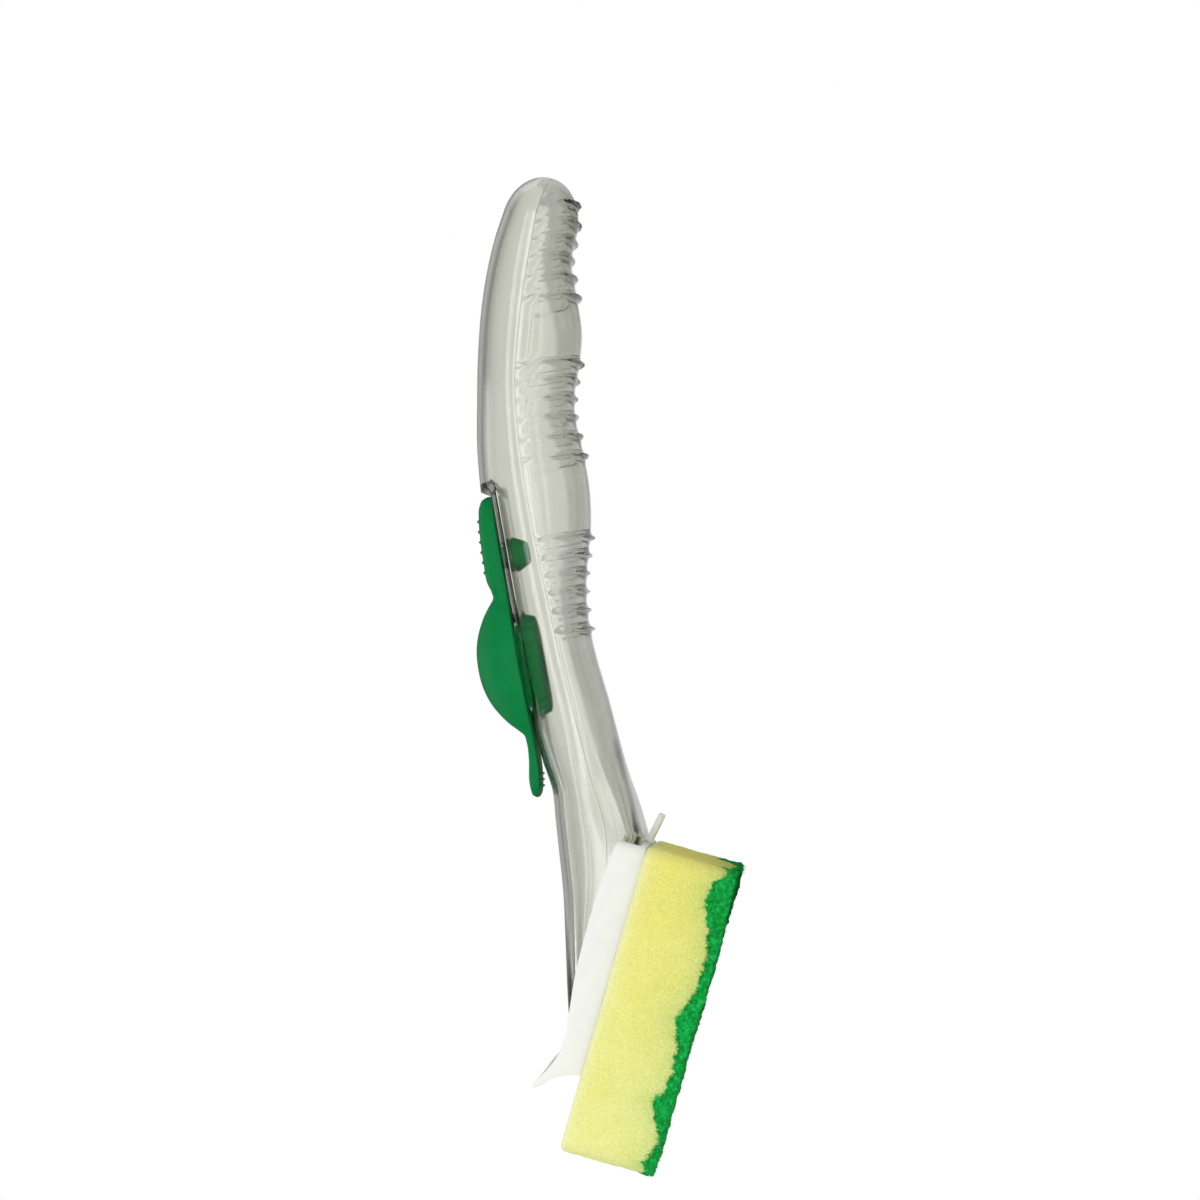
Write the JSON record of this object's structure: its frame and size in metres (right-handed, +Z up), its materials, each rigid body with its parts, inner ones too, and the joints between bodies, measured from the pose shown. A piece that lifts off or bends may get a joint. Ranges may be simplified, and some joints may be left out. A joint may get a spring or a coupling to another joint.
{
  "type": "scrubbing wand",
  "caption": "Hollow clear-handled soap-dispensing dish scrubbing wand with a soft hinged filler cap, finger ridges and a slide-off sponge refill with scraper.",
  "frame": {"origin": "on the worktop, under the middle of the wand's box as it lies on its scour layer's rear edge and its tail", "axes": "+X along the wand from the sponge to the tail, +Z up with the filler cap on top, Y across"},
  "size_m": [0.2778, 0.057, 0.0689],
  "materials": {
    "clear_plastic": "clear, slightly grey, glossy",
    "green_elastomer": "satin moulded elastomer",
    "white_plastic": "satin moulded",
    "silicone": "translucent silicone",
    "yellow_foam": "open-cell sponge",
    "green_scour": "rough non-woven scouring fibre"
  },
  "bodies": {
    "handle": {"back_shell": "clear_plastic", "grip_shell": "clear_plastic", "slit_valve": "silicone", "valve_retainer": "white_plastic", "cap_strap": "green_elastomer"},
    "cap": {"cap_flap": "green_elastomer"},
    "crown": {"thumb_crown": "green_elastomer"},
    "refill": {"refill_base": "white_plastic", "sponge_foam": "yellow_foam", "scour_layer": "green_scour"},
    "tab": {"release_tab": "white_plastic"}
  },
  "joints": [
    {"name": "cap_hinge", "type": "hinge", "parent": "handle", "child": "cap", "pos_m": [0.0275, 0, 0.04985], "axis": [0, 1, 0], "range_deg": [0, 110]},
    {"name": "crown_press", "type": "slide", "parent": "cap", "child": "crown", "axis": [-0.0624, 0, -0.9981], "range_m": [0, 0.0025], "stiffness_N_per_m": 800},
    {"name": "refill_slide", "type": "slide", "parent": "handle", "child": "refill", "axis": [-0.8688, 0, 0.4951], "range_m": [0, 0.066]},
    {"name": "tab_press", "type": "hinge", "parent": "refill", "child": "tab", "pos_m": [-0.05054, 0, 0.02368], "axis": [0, 1, 0], "range_deg": [0, 8], "stiffness_Nm_per_rad": 0.5}
  ]
}
